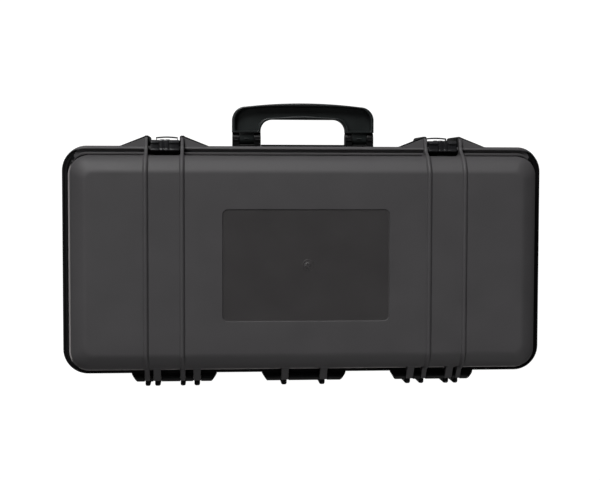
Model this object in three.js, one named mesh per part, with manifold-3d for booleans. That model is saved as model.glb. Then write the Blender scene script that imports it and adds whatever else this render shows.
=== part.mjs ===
// A hard-shell equipment case in millimetres, +Z up: it lies on its back with the lid on top,
// the handle and latches face -Y and the hinges are at +Y.
import * as THREE from "three";
import { mergeVertices } from "three/addons/utils/BufferGeometryUtils.js";
import Module from "manifold-3d";

const wasm = await Module();
wasm.setup();

// ---- driving dimensions ----
const RIM = { halfX: 340, halfY: 161, radius: 35, bottom: 73, top: 86, chamfer: 1.5 };
const WALL_CENTRE_Y = 2; // the walls sit a little towards the hinges, which leaves room for the latches
const WALL = { halfX: 327, halfY: 149, radius: 26, draft: 2 }; // outline where the walls meet the shoulders
const SHOULDER = { inset: 22, height: 18, steps: 5 };
const BASE = { bottom: 3, wall: 4, floor: 4 };
const LID = { top: 130, wall: 3.5, roof: 4 };
const FIT = 0.3; // gap between pieces that touch
const GAP = 0.5; // gap at each side of a piece that swings
const CORNER_STEPS = 6;

// ribs, guards and fins: one set of places on both shells
const RIB = { x: [-222, -172, 172, 222], width: 8, stand: 3 };
const GUARD = { width: 6, lidReach: 14, baseReach: 17, tipTop: 93 };
const GUSSET = { length: 32, lidTop: 91, baseBottom: 80 };
const HINGE = { y: RIM.halfY + 5, z: RIM.top, knuckle: 5.4, pin: 2, bore: 2.15 };
const HINGE_BLOCK = { x: [-184, 0, 184], halfTop: 60, halfEnd: 52.5, reach: 11.5 };
const WIDE_PLATE = { x: [-208, -152, -27.5, 27.5, 152, 208], width: 10.5 };
const PLATES = [...RIB.x.map((x) => [x, RIB.width]), ...WIDE_PLATE.x.map((x) => [x, WIDE_PLATE.width])];
const FIN = { reach: 20, width: 8, top: 74 };

// front edge of the lid: a low rail that the latches hold, a channel and a step
const RAIL = { halfX: 305, thick: 3.3, top: 92.5, channelFloor: 89, stepReach: 6, stepTop: 91.5 };
const LABEL = { halfX: 116.5, halfY: 78.5, y: 7, radius: 8, depth: 1 };
const GATE_MARK = { x: -2, y: 7, radius: 4, height: 0.8 };

const GASKET = { width: 4, depth: 4 };
const FOAM = { baseTop: 45, lidBottom: 104, radius: 16 };

const HANDLE = {
  halfX: 101, gapHalfX: 61, top: 62, gapTop: 39, arch: 5, outerR: 20, innerR: 17,
  pivotY: -(RIM.halfY + 11), z: 56, thick: 22, leg: 10.4, rim: 4, pocket: 7, tongue: 20, tongueR: 7.5,
};
const LUG = { x: 81, cheek: 9.6, gapHalf: 10.6, radius: 9.4, pin: 2, bore: 2.15 };
const MOUNT = { halfX: 104, back: 150.3, plate: 4, low: 39, high: 71.5, bar: 164, barLow: 50, barHigh: 62 };
const SCREW = { x: 48, low: 44, high: 67, head: 4, headThick: 2.4, shank: 2, length: 9, hole: 2.2 };

const LATCH = {
  x: 197, halfX: 21.4, pivotY: -167, pivotZ: 46, pin: 2, bore: 2.15, back: -(RIM.halfY + 1.4),
  front: -171, top: 96.5, under: 93.2, lip: -154, slotHalf: 7, slotLow: 50, foot: 35,
};
// The trigger's pivot is level with the rail, so that pressing its lower end lifts the hook straight up.
const TRIGGER = {
  halfX: 6.5, pivotY: -167, pivotZ: 90, pin: 1.4, bore: 1.5, top: 97.3, hookBottom: 90.2, armBack: -166.5,
};

// The whole case is shifted in Y so that the origin is under the middle of its box.
const FRONT_Y = -(RIM.halfY + HANDLE.top);
const REAR_Y = RIM.halfY + FIN.reach;
const SHIFT_Y = -(FRONT_Y + REAR_Y) / 2;

// ---- geometry helpers ----
function solidFrom(geometry) {
  geometry.deleteAttribute("normal");
  geometry.deleteAttribute("uv");
  const merged = mergeVertices(geometry, 1e-4);
  const mesh = new wasm.Mesh({
    numProp: 3,
    vertProperties: merged.attributes.position.array,
    triVerts: new Uint32Array(merged.index.array),
  });
  return new wasm.Manifold(mesh);
}

// A shape from corners [u, v, radius]; a corner without a radius stays sharp.
function outline(corners) {
  const shape = new THREE.Shape();
  corners.forEach(([u, v, radius = 0], i) => {
    const here = new THREE.Vector2(u, v);
    const [pu, pv] = corners[(i + corners.length - 1) % corners.length];
    const [nu, nv] = corners[(i + 1) % corners.length];
    const start = new THREE.Vector2(pu, pv).sub(here).setLength(radius).add(here);
    const end = new THREE.Vector2(nu, nv).sub(here).setLength(radius).add(here);
    if (i === 0) shape.moveTo(start.x, start.y);
    else shape.lineTo(start.x, start.y);
    if (radius > 0) shape.quadraticCurveTo(u, v, end.x, end.y);
  });
  shape.closePath();
  return shape;
}

// An outline in (y, z) pushed along X.
function prismX(shape, x0, x1, curveSegments = 4) {
  const geometry = new THREE.ExtrudeGeometry(shape, { depth: x1 - x0, bevelEnabled: false, curveSegments });
  const turn = new THREE.Matrix4().makeBasis(
    new THREE.Vector3(0, 1, 0),
    new THREE.Vector3(0, 0, 1),
    new THREE.Vector3(1, 0, 0),
  );
  geometry.applyMatrix4(turn).translate(x0, 0, 0);
  return solidFrom(geometry);
}

// An outline in (x, y) pushed along Z.
function prismZ(shape, z0, z1, curveSegments = 4) {
  const geometry = new THREE.ExtrudeGeometry(shape, { depth: z1 - z0, bevelEnabled: false, curveSegments });
  geometry.translate(0, 0, z0);
  return solidFrom(geometry);
}

function box(x0, x1, y0, y1, z0, z1) {
  const geometry = new THREE.BoxGeometry(x1 - x0, y1 - y0, z1 - z0);
  geometry.translate((x0 + x1) / 2, (y0 + y1) / 2, (z0 + z1) / 2);
  return solidFrom(geometry);
}

function rodX(x0, x1, y, z, radius, sides = 12) {
  const geometry = new THREE.CylinderGeometry(radius, radius, x1 - x0, sides);
  geometry.rotateZ(Math.PI / 2).translate((x0 + x1) / 2, y, z);
  return solidFrom(geometry);
}

function rodY(x, y0, y1, z, radius, sides = 12) {
  const geometry = new THREE.CylinderGeometry(radius, radius, y1 - y0, sides);
  geometry.translate(x, (y0 + y1) / 2, z);
  return solidFrom(geometry);
}

// A body through rounded rectangles, lowest first: {halfX, halfY, radius, centreY, z}.
function loft(rings) {
  const count = 4 * (CORNER_STEPS + 1);
  const points = [];
  for (const ring of rings) {
    for (let corner = 0; corner < 4; corner++) {
      const sx = corner === 0 || corner === 3 ? 1 : -1;
      const sy = corner < 2 ? 1 : -1;
      for (let i = 0; i <= CORNER_STEPS; i++) {
        const angle = ((corner + i / CORNER_STEPS) * Math.PI) / 2;
        points.push(
          sx * (ring.halfX - ring.radius) + ring.radius * Math.cos(angle),
          ring.centreY + sy * (ring.halfY - ring.radius) + ring.radius * Math.sin(angle),
          ring.z,
        );
      }
    }
  }
  const faces = [];
  for (let k = 0; k + 1 < rings.length; k++) {
    for (let i = 0; i < count; i++) {
      const a = k * count + i;
      const b = k * count + ((i + 1) % count);
      faces.push(a, b, b + count, a, b + count, a + count);
    }
  }
  const last = (rings.length - 1) * count;
  for (let i = 1; i + 1 < count; i++) {
    faces.push(0, i + 1, i, last, last + i, last + i + 1);
  }
  const geometry = new THREE.BufferGeometry();
  geometry.setAttribute("position", new THREE.BufferAttribute(new Float32Array(points), 3));
  geometry.setIndex(faces);
  return solidFrom(geometry);
}

const union = (solids) => solids.reduce((sum, solid) => sum.add(solid));
const cut = (solid, tools) => tools.reduce((rest, tool) => rest.subtract(tool), solid);

// ---- the two shells' common form ----
// Rings of a wall and its shoulder, from the parting plane outwards; inset makes the inner surface.
function shellRings(partingZ, shoulderZ, faceZ, inset) {
  const direction = Math.sign(faceZ - partingZ);
  const at = (extra, z) => ({
    halfX: WALL.halfX - inset + extra,
    halfY: WALL.halfY - inset + extra,
    radius: Math.max(WALL.radius - inset + extra * 0.6, 4),
    centreY: WALL_CENTRE_Y,
    z,
  });
  const rings = [at(WALL.draft, partingZ)];
  for (let i = 0; i <= SHOULDER.steps; i++) {
    const angle = ((i / SHOULDER.steps) * Math.PI) / 2;
    const height = Math.abs(faceZ - shoulderZ);
    rings.push(
      at(-(SHOULDER.inset - inset) * (1 - Math.cos(angle)), shoulderZ + direction * height * Math.sin(angle)),
    );
  }
  return direction > 0 ? rings : rings.reverse();
}

const wallY = (side) => WALL_CENTRE_Y + side * (WALL.halfY + WALL.draft);
const LID_BOTTOM = RIM.top + FIT;
const BASE_TOP = RIM.top - FIT;

// Triangular webs beside each latch guard, on the side away from the latch.
function gussets(reach, z0, z1) {
  return RIB.x.map((x) => {
    const away = Math.abs(x) > LATCH.x ? Math.sign(x) : -Math.sign(x);
    const corners = [
      [x, -RIM.halfY + 2],
      [x + away * GUSSET.length, -RIM.halfY + 2],
      [x + away * GUSSET.length, -RIM.halfY],
      [x, -RIM.halfY - reach],
    ];
    return prismZ(outline(away > 0 ? corners.reverse() : corners), z0, z1);
  });
}

// ---- lid ----
function lidShell() {
  const shoulderZ = LID.top - SHOULDER.height;
  const outer = loft(shellRings(LID_BOTTOM, shoulderZ, LID.top, 0));
  const cavity = loft(shellRings(LID_BOTTOM - 1, shoulderZ, LID.top - LID.roof, LID.wall));
  const front = wallY(-1);
  const rear = wallY(1);
  const ribTop = LID.top + RIB.stand;
  const flat = WALL.halfY - SHOULDER.inset;
  const ribs = RIB.x.map((x) =>
    prismX(
      outline([
        [front, LID_BOTTOM],
        [rear, LID_BOTTOM],
        [rear + RIB.stand, LID_BOTTOM + 6],
        [rear + RIB.stand - 2, shoulderZ + 2, 6],
        [WALL_CENTRE_Y + flat + 3, ribTop, 9],
        [WALL_CENTRE_Y - flat - 3, ribTop, 9],
        [front - RIB.stand + 2, shoulderZ + 2, 6],
        [front - RIB.stand, LID_BOTTOM + 6],
      ]),
      x - RIB.width / 2,
      x + RIB.width / 2,
    ),
  );
  const tip = -RIM.halfY - GUARD.lidReach;
  const guards = RIB.x.map((x) =>
    prismX(
      outline([
        [front + 1, LID_BOTTOM],
        [front + 1, shoulderZ],
        [front - 4, shoulderZ - 6],
        [tip, GUARD.tipTop, 3],
        [tip, LID_BOTTOM],
      ].reverse()),
      x - GUARD.width / 2,
      x + GUARD.width / 2,
    ),
  );
  const plates = PLATES.flatMap(([x, width]) => [
    prismX(
      outline([
        [rear - 2, LID_BOTTOM],
        [HINGE.y, LID_BOTTOM],
        [HINGE.y + 1, HINGE.z + HINGE.knuckle - 0.2],
        [rear + 1, HINGE.z + 17],
        [rear - 2, HINGE.z + 20],
      ]),
      x - width / 2,
      x + width / 2,
    ),
    rodX(x - width / 2, x + width / 2, HINGE.y, HINGE.z, HINGE.knuckle),
  ]);
  const edge = -RIM.halfY;
  const frontEdge = [
    box(-RAIL.halfX, RAIL.halfX, edge, front + 2, LID_BOTTOM, RAIL.channelFloor),
    box(-RAIL.halfX, RAIL.halfX, edge, edge + RAIL.thick, LID_BOTTOM, RAIL.top),
    box(-RAIL.halfX, RAIL.halfX, front - RAIL.stepReach + 2, front + 2, LID_BOTTOM, RAIL.stepTop),
  ];
  const webs = gussets(GUARD.lidReach, LID_BOTTOM, GUSSET.lidTop);
  const solid = union([outer, ...ribs, ...guards, ...plates, ...frontEdge, ...webs]);
  const recess = prismZ(
    outline([
      [-LABEL.halfX, LABEL.y - LABEL.halfY, LABEL.radius],
      [LABEL.halfX, LABEL.y - LABEL.halfY, LABEL.radius],
      [LABEL.halfX, LABEL.y + LABEL.halfY, LABEL.radius],
      [-LABEL.halfX, LABEL.y + LABEL.halfY, LABEL.radius],
    ]),
    LID.top - LABEL.depth,
    LID.top + 1,
  );
  const mark = new THREE.CylinderGeometry(GATE_MARK.radius * 0.7, GATE_MARK.radius, GATE_MARK.height + 0.5, 12);
  mark.rotateX(Math.PI / 2).translate(GATE_MARK.x, GATE_MARK.y, LID.top - LABEL.depth + GATE_MARK.height / 2 - 0.25);
  const bores = HINGE_BLOCK.x.map((x) =>
    rodX(x - HINGE_BLOCK.halfTop, x + HINGE_BLOCK.halfTop, HINGE.y, HINGE.z, HINGE.bore),
  );
  return cut(solid, [cavity, recess, ...bores]).add(solidFrom(mark));
}

// ---- base ----
function baseShell() {
  const shoulderZ = BASE.bottom + SHOULDER.height;
  const outer = loft(shellRings(RIM.bottom + 2, shoulderZ, BASE.bottom, 0));
  const cavity = loft(shellRings(RIM.top + 1, shoulderZ, BASE.bottom + BASE.floor, BASE.wall));
  const rimRing = (shrink, z) => ({
    halfX: RIM.halfX - shrink,
    halfY: RIM.halfY - shrink,
    radius: RIM.radius - shrink,
    centreY: 0,
    z,
  });
  const rim = loft([
    rimRing(RIM.chamfer * 2, RIM.bottom),
    rimRing(0, RIM.bottom + RIM.chamfer * 2),
    rimRing(0, BASE_TOP - RIM.chamfer),
    rimRing(RIM.chamfer, BASE_TOP),
  ]);
  const tip = -RIM.halfY - GUARD.baseReach;
  const foot = RIM.halfY + FIN.reach;
  const runners = RIB.x.map((x) =>
    prismX(
      outline([
        [tip, BASE_TOP],
        [tip, 0, 16],
        [foot, 0, 16],
        [foot, FIN.top, 4],
        [0, FIN.top],
        [0, BASE_TOP],
      ]),
      x - GUARD.width / 2,
      x + GUARD.width / 2,
    ),
  );
  const fins = WIDE_PLATE.x.map((x) =>
    prismX(
      outline([
        [WALL_CENTRE_Y + WALL.halfY - SHOULDER.inset, BASE.bottom + 1],
        [foot, BASE.bottom + 1, 14],
        [foot, FIN.top, 4],
        [WALL_CENTRE_Y + WALL.halfY - SHOULDER.inset, FIN.top],
      ]),
      x - FIN.width / 2,
      x + FIN.width / 2,
    ),
  );
  const blocks = HINGE_BLOCK.x.flatMap((x) => [
    prismZ(
      outline([
        [x - HINGE_BLOCK.halfTop, RIM.halfY - 3],
        [x + HINGE_BLOCK.halfTop, RIM.halfY - 3],
        [x + HINGE_BLOCK.halfTop, RIM.halfY],
        [x + HINGE_BLOCK.halfEnd, RIM.halfY + HINGE_BLOCK.reach],
        [x - HINGE_BLOCK.halfEnd, RIM.halfY + HINGE_BLOCK.reach],
        [x - HINGE_BLOCK.halfTop, RIM.halfY],
      ]),
      RIM.bottom,
      BASE_TOP,
    ),
    rodX(x - HINGE_BLOCK.halfEnd, x + HINGE_BLOCK.halfEnd, HINGE.y, HINGE.z, HINGE.knuckle),
  ]);
  const plinth = box(-MOUNT.halfX - 4, MOUNT.halfX + 4, -150, -140, MOUNT.low - 6, RIM.bottom + 2);
  const webs = gussets(GUARD.lidReach, GUSSET.baseBottom, BASE_TOP);
  const solid = union([outer, rim, ...runners, ...fins, ...blocks, plinth, ...webs]);
  const groove = sealBand(GASKET.width / 2, RIM.top - GASKET.depth, RIM.top + 1);
  const slots = PLATES.map(([x, width]) =>
    box(
      x - width / 2 - GAP,
      x + width / 2 + GAP,
      HINGE.y - HINGE.knuckle - 1,
      HINGE.y + HINGE.knuckle + 2,
      HINGE.z - HINGE.knuckle - 1,
      HINGE.z + HINGE.knuckle + 2,
    ),
  );
  const hingeBores = HINGE_BLOCK.x.map((x) =>
    rodX(x - HINGE_BLOCK.halfTop, x + HINGE_BLOCK.halfTop, HINGE.y, HINGE.z, HINGE.bore),
  );
  const latchBores = [-1, 1].map((side) =>
    rodX(side * LATCH.x - 32, side * LATCH.x + 32, LATCH.pivotY, LATCH.pivotZ, LATCH.bore),
  );
  const screwHoles = screwPlaces().map(([x, z]) => rodY(x, -152, -142, z, SCREW.hole));
  return cut(solid, [cavity, groove, ...slots, ...hingeBores, ...latchBores, ...screwHoles]);
}

// A closed band under the middle of the lid's wall, for the gasket and its groove.
function sealBand(halfWidth, z0, z1) {
  const middle = WALL.draft - LID.wall / 2;
  const ring = (offset, z) => ({
    halfX: WALL.halfX + middle + offset,
    halfY: WALL.halfY + middle + offset,
    radius: WALL.radius + offset,
    centreY: WALL_CENTRE_Y,
    z,
  });
  const inside = loft([ring(-halfWidth, z0 - 1), ring(-halfWidth, z1 + 1)]);
  return loft([ring(halfWidth, z0), ring(halfWidth, z1)]).subtract(inside);
}

function gasket() {
  return sealBand(GASKET.width / 2 - FIT, RIM.top - GASKET.depth + FIT, RIM.top);
}

// ---- foam pads ----
function foamPad(z0, z1, halfX, halfY) {
  const ring = (z) => ({ halfX, halfY, radius: FOAM.radius, centreY: WALL_CENTRE_Y, z });
  return loft([ring(z0), ring(z1)]);
}

// ---- handle, its mount, pins and screws ----
function handle() {
  const reach = RIM.halfY;
  const legEnd = -(HANDLE.pivotY - HANDLE.leg);
  const body = (inset) => {
    const outer = HANDLE.halfX - inset;
    const inner = HANDLE.gapHalfX + inset;
    const crown = reach + HANDLE.top - inset;
    const side = crown - HANDLE.arch;
    const lower = legEnd + inset;
    const gap = reach + HANDLE.gapTop + inset;
    const shape = new THREE.Shape();
    shape.moveTo(outer, -lower);
    shape.lineTo(inner, -lower);
    shape.lineTo(inner, -(gap - HANDLE.innerR));
    shape.quadraticCurveTo(inner, -gap, inner - HANDLE.innerR, -gap);
    shape.lineTo(-inner + HANDLE.innerR, -gap);
    shape.quadraticCurveTo(-inner, -gap, -inner, -(gap - HANDLE.innerR));
    shape.lineTo(-inner, -lower);
    shape.lineTo(-outer, -lower);
    shape.lineTo(-outer, -(side - HANDLE.outerR));
    shape.quadraticCurveTo(-outer, -side, -outer + HANDLE.outerR, -side);
    shape.quadraticCurveTo(0, -(crown + HANDLE.arch), outer - HANDLE.outerR, -side);
    shape.quadraticCurveTo(outer, -side, outer, -(side - HANDLE.outerR));
    shape.closePath();
    return shape;
  };
  const low = HANDLE.z - HANDLE.thick / 2;
  const high = HANDLE.z + HANDLE.thick / 2;
  const solid = prismZ(body(0), low, high, 6);
  const pockets = [
    prismZ(body(HANDLE.rim), high - HANDLE.pocket, high + 1, 6),
    prismZ(body(HANDLE.rim), low - 1, low + HANDLE.pocket, 6),
  ];
  const tongues = [-1, 1].flatMap((side) => {
    const x0 = side * LUG.x - HANDLE.tongue / 2;
    const x1 = side * LUG.x + HANDLE.tongue / 2;
    return [
      box(x0, x1, -legEnd - 1, HANDLE.pivotY, HANDLE.z - HANDLE.tongueR, HANDLE.z + HANDLE.tongueR),
      rodX(x0, x1, HANDLE.pivotY, HANDLE.z, HANDLE.tongueR, 16),
    ];
  });
  const bores = [-1, 1].map((side) =>
    rodX(side * LUG.x - 20, side * LUG.x + 20, HANDLE.pivotY, HANDLE.z, LUG.bore),
  );
  return cut(union([cut(solid, pockets), ...tongues]), bores);
}

function lugCheeks() {
  return [-1, 1].flatMap((side) =>
    [-1, 1].map((hand) => {
      const inner = side * LUG.x + hand * LUG.gapHalf;
      const outer = inner + hand * LUG.cheek;
      return [Math.min(inner, outer), Math.max(inner, outer)];
    }),
  );
}

function screwPlaces() {
  return [-1, 1].flatMap((side) => [SCREW.low, SCREW.high].map((z) => [side * SCREW.x, z]));
}

function handleMount() {
  const face = -MOUNT.back - MOUNT.plate;
  const plate = box(-MOUNT.halfX, MOUNT.halfX, face, -MOUNT.back, MOUNT.low, MOUNT.high);
  const barHalfX = HANDLE.gapHalfX - 1;
  const bar = box(-barHalfX, barHalfX, -MOUNT.bar, face + 1, MOUNT.barLow, MOUNT.barHigh);
  const cheeks = lugCheeks().flatMap(([x0, x1]) => [
    rodX(x0, x1, HANDLE.pivotY, HANDLE.z, LUG.radius, 20),
    box(x0, x1, HANDLE.pivotY, face + 1, HANDLE.z - LUG.radius + 0.4, HANDLE.z + LUG.radius - 0.4),
  ]);
  const bores = [-1, 1].map((side) =>
    rodX(side * LUG.x - 25, side * LUG.x + 25, HANDLE.pivotY, HANDLE.z, LUG.bore),
  );
  const holes = screwPlaces().map(([x, z]) => rodY(x, face - 1, -MOUNT.back + 1, z, SCREW.hole));
  return cut(union([plate, bar, ...cheeks]), [...bores, ...holes]);
}

function mountScrew(x, z) {
  const face = -MOUNT.back - MOUNT.plate - FIT;
  const head = rodY(x, face - SCREW.headThick, face, z, SCREW.head, 16);
  const shank = rodY(x, face - 1, face + SCREW.length, z, SCREW.shank);
  const slot = box(x - 0.5, x + 0.5, face - SCREW.headThick - 1, face - SCREW.headThick + 1, z - 2.6, z + 2.6);
  const cross = box(x - 2.6, x + 2.6, face - SCREW.headThick - 1, face - SCREW.headThick + 1, z - 0.5, z + 0.5);
  return cut(union([head, shank]), [slot, cross]);
}

// ---- latches ----
function latchBody(x) {
  const { back, front, top, under, lip } = LATCH;
  const hookPart = prismX(
    outline([
      [lip, under + 0.6],
      [lip, top - 0.6, 1],
      [front + 1, top, 4],
      [front, 78],
      [front - 1, 60],
      [LATCH.pivotY - 4.5, LATCH.pivotZ - 6, 3],
      [back, LATCH.pivotZ - 6, 3],
      [back, under],
    ].reverse()),
    x - LATCH.halfX,
    x + LATCH.halfX,
  );
  const grip = prismX(
    outline([
      [front - 1.5, 60],
      [front + 3, 60],
      [LATCH.pivotY - 2, LATCH.pivotZ - 9],
      [front - 3.5, 34, 1.5],
      [front - 4.5, 38, 1.5],
    ].reverse()),
    x - LATCH.foot / 2,
    x + LATCH.foot / 2,
  );
  const slot = box(x - LATCH.slotHalf, x + LATCH.slotHalf, -200, -140, LATCH.slotLow, top + 5);
  const bores = [
    rodX(x - 30, x + 30, LATCH.pivotY, LATCH.pivotZ, LATCH.bore),
    rodX(x - 12, x + 12, TRIGGER.pivotY, TRIGGER.pivotZ, TRIGGER.bore),
  ];
  return cut(union([hookPart, grip]), [slot, ...bores]);
}

function latchTrigger(x) {
  const { back, front, lip } = LATCH;
  const arm = prismX(
    outline([
      [lip, TRIGGER.hookBottom, 0.5],
      [lip, TRIGGER.top - 0.5, 1],
      [front + 1, TRIGGER.top, 4],
      [front - 0.8, 80],
      [front - 4, 56],
      [front - 4, 52.4, 1],
      [front + 3, 52.4],
      [TRIGGER.armBack, 64],
      [TRIGGER.armBack, 80],
      [back - 0.4, RIM.top],
      [back - 0.4, LATCH.under],
      [lip - 2.7, LATCH.under],
      [lip - 2.7, TRIGGER.hookBottom],
    ].reverse()),
    x - TRIGGER.halfX,
    x + TRIGGER.halfX,
  );
  return arm.subtract(rodX(x - 10, x + 10, TRIGGER.pivotY, TRIGGER.pivotZ, TRIGGER.bore));
}

// ---- materials ----
const plastic = (color, roughness) => new THREE.MeshStandardMaterial({ color, roughness, metalness: 0 });
const lidPlastic = plastic(0x413f40, 0.55);
const basePlastic = plastic(0x101112, 0.45);
const latchPlastic = plastic(0x1a1b1d, 0.4);
const handlePlastic = plastic(0x131818, 0.5);
const rubber = plastic(0x0c0c0c, 0.8);
const foam = plastic(0x2b2b2e, 0.95);
const steel = new THREE.MeshStandardMaterial({ color: 0xb8b4ae, roughness: 0.3, metalness: 1 });

// ---- assembly ----
const group = new THREE.Group();
group.position.y = SHIFT_Y;

function place(name, solid, material) {
  const made = solid.getMesh();
  const geometry = new THREE.BufferGeometry();
  geometry.setAttribute("position", new THREE.BufferAttribute(made.vertProperties, 3));
  geometry.setIndex(new THREE.BufferAttribute(made.triVerts, 1));
  const mesh = new THREE.Mesh(geometry, material);
  mesh.name = name;
  group.add(mesh);
}

place("base_shell", baseShell(), basePlastic);
place("lid_shell", lidShell(), lidPlastic);
place("lid_gasket", gasket(), rubber);
const padX = WALL.halfX - SHOULDER.inset;
const padY = WALL.halfY - SHOULDER.inset;
place("base_foam", foamPad(BASE.bottom + BASE.floor + FIT, FOAM.baseTop, padX, padY), foam);
place("lid_foam", foamPad(FOAM.lidBottom, LID.top - LID.roof - FIT, padX - 2, padY - 2), foam);

["left", "centre", "right"].forEach((side, i) => {
  const x = HINGE_BLOCK.x[i];
  const half = HINGE_BLOCK.halfEnd - 0.5;
  place(`hinge_pin_${side}`, rodX(x - half, x + half, HINGE.y, HINGE.z, HINGE.pin), steel);
});

place("handle", handle(), handlePlastic);
place("handle_mount", handleMount(), basePlastic);
screwPlaces().forEach(([x, z], i) => place(`handle_mount_screw_${i + 1}`, mountScrew(x, z), steel));

for (const [side, sign] of [["left", -1], ["right", 1]]) {
  const lugEnd = LUG.gapHalf + LUG.cheek - 0.6;
  place(
    `handle_pin_${side}`,
    rodX(sign * LUG.x - lugEnd, sign * LUG.x + lugEnd, HANDLE.pivotY, HANDLE.z, LUG.pin),
    steel,
  );
  const x = sign * LATCH.x;
  place(`latch_body_${side}`, latchBody(x), latchPlastic);
  place(`latch_trigger_${side}`, latchTrigger(x), latchPlastic);
  place(`latch_pin_${side}`, rodX(x - 28.8, x + 28.8, LATCH.pivotY, LATCH.pivotZ, LATCH.pin), steel);
  place(`trigger_pin_${side}`, rodX(x - 11, x + 11, TRIGGER.pivotY, TRIGGER.pivotZ, TRIGGER.pin), steel);
}

export default group;
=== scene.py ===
"""Looks of a hard-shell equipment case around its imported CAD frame.

Shapes are given in millimetres in the case's own frame: X along the case, -Y the handle side,
+Y the hinge side, Z up from the surface it lies on. place() turns them into metres in the CAD frame.
"""

import math

import bmesh
import bpy
from mathutils import Matrix, Vector


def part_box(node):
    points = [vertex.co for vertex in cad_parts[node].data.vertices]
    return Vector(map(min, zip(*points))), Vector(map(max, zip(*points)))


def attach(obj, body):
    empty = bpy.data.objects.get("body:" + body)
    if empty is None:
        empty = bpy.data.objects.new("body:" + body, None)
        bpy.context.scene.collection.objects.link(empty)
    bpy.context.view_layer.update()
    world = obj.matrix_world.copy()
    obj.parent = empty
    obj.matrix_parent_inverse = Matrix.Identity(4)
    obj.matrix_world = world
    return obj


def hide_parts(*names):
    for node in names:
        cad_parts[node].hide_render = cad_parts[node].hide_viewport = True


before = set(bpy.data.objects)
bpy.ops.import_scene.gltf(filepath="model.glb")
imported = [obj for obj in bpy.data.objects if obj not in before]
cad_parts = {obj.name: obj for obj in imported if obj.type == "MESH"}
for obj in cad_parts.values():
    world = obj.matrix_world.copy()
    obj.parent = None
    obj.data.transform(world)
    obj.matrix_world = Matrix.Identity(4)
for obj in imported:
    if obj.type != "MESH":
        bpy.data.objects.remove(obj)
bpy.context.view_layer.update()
MM = 0.001

# ---- sizes, in millimetres ----
WALL_CENTRE_Y = 2.0
SHIFT_Y = (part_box("lid_gasket")[0][1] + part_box("lid_gasket")[1][1]) / 2 / MM - WALL_CENTRE_Y
RIM_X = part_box("base_shell")[1][0] / MM
RIM_Y = 161.0
RIM_REAR = 160.2
RIM_RADIUS = 35.0
RIM_LOW, RIM_TOP = 73.0, 86.0
WALL_X, WALL_Y, WALL_RADIUS, DRAFT = 327.0, 149.0, 26.0, 2.0
SHOULDER_IN, SHOULDER_UP, SHOULDER_POWER = 22.0, 24.0, 2.3
FACE_BREAK = 0.92  # share of the shoulder's height where its slope starts to round into the face
RIB_STAND = 3.0
LID_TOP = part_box("lid_shell")[1][2] / MM - RIB_STAND
LID_LOW = RIM_TOP + 0.3
BASE_LOW = 3.0
LID_WALL, LID_ROOF, BASE_WALL, BASE_FLOOR = 3.5, 4.0, 4.0, 4.0
RIB_X = (-222.0, -172.0, 172.0, 222.0)
LATCH_X = 197.0
WIDE_PLATE_X = (-208.0, -152.0, -27.5, 27.5, 152.0, 208.0)
PLATES = [(x, 7.0) for x in RIB_X] + [(x, 10.5) for x in WIDE_PLATE_X]
HINGE_Y, HINGE_Z, KNUCKLE = 166.0, 86.0, 5.4
BLOCK_X, BLOCK_TOP, BLOCK_END, BLOCK_REACH = (-184.0, 0.0, 184.0), 60.0, 52.5, 11.5
# the rim's upper face and the step inside it: (inset from the rim, drop below its top)
RIM_SECTION = (
    (2.9, 0.0), (3.2, 0.3), (3.7, 0.7), (4.4, 0.7), (4.9, 0.3),
    (5.6, 0.2), (7.6, 0.2), (8.1, 0.6), (8.4, 1.4),
)
LID_GUARD_WIDTH, BASE_GUARD_WIDTH, LID_REACH, BASE_REACH = 4.8, 7.2, 12.0, 14.8
# the lip round the lid's lower edge: (how far out, rise above the lid's lower edge)
LIP_SECTION = ((1.4, 5.3), (1.7, 4.8), (2.3, 4.5), (3.3, 4.4), (3.9, 4.1), (4.2, 3.4), (4.2, 0.0))
FRONT_DRAFT = 0.5
GUSSET_LENGTH = 32.0
LUG_X, LUG_Y = 81.0, -172.0
FIN_REACH, FIN_TOP, FIN_WIDTH = 20.0, 74.0, 8.0
LABEL_X, LABEL_Y, LABEL_MIDDLE_Y, LABEL_RADIUS, LABEL_DEPTH = 116.5, 78.0, 4.6, 8.0, 1.0
FRONT_Y = WALL_CENTRE_Y - WALL_Y - DRAFT
REAR_Y = WALL_CENTRE_Y + WALL_Y + DRAFT
CORNER_STEPS = 14

# ---- studio: directions point from the case; +X is the picture's left and -Y its top ----
SKY_DIM = 0.02
SOFT_BOXES = (
    ((0.27, -0.80, 0.53), 8, 18, 15.0),
    ((0.46, -0.05, 0.88), 5, 11, 3.0),
    ((-0.4, 0.85, 0.36), 10, 34, 1.0),
)
FLOOR_COLOUR = 0.16
FLOOR_GLOW = 0.06
FLOOR_SEEN = 1.0


# ---- mesh helpers ----
def place(point):
    x, y, z = point
    return (x * MM, (y + SHIFT_Y) * MM, z * MM)


def piece(name, points, faces, look, body, smooth=38, bevel=0.0, segments=3):
    """A mesh object from millimetre points, riding on a body."""
    mesh = bpy.data.meshes.new(name)
    mesh.from_pydata([place(p) for p in points], [], faces)
    form = bmesh.new()
    form.from_mesh(mesh)
    bmesh.ops.recalc_face_normals(form, faces=form.faces)
    form.to_mesh(mesh)
    form.free()
    mesh.shade_smooth()
    made = bpy.data.objects.new(name, mesh)
    bpy.context.scene.collection.objects.link(made)
    finish_piece(made, look, body, smooth, bevel, segments)
    return made


def finish_piece(made, look, body, smooth=38, bevel=0.0, segments=3):
    made.data.materials.clear()
    made.data.materials.append(look)
    if bevel:
        edge = made.modifiers.new("edges", "BEVEL")
        edge.width = bevel * MM
        edge.segments = segments
        edge.limit_method = "ANGLE"
        edge.angle_limit = math.radians(32)
        edge.harden_normals = True
    made.data.set_sharp_from_angle(angle=math.radians(smooth))
    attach(made, body)


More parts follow.
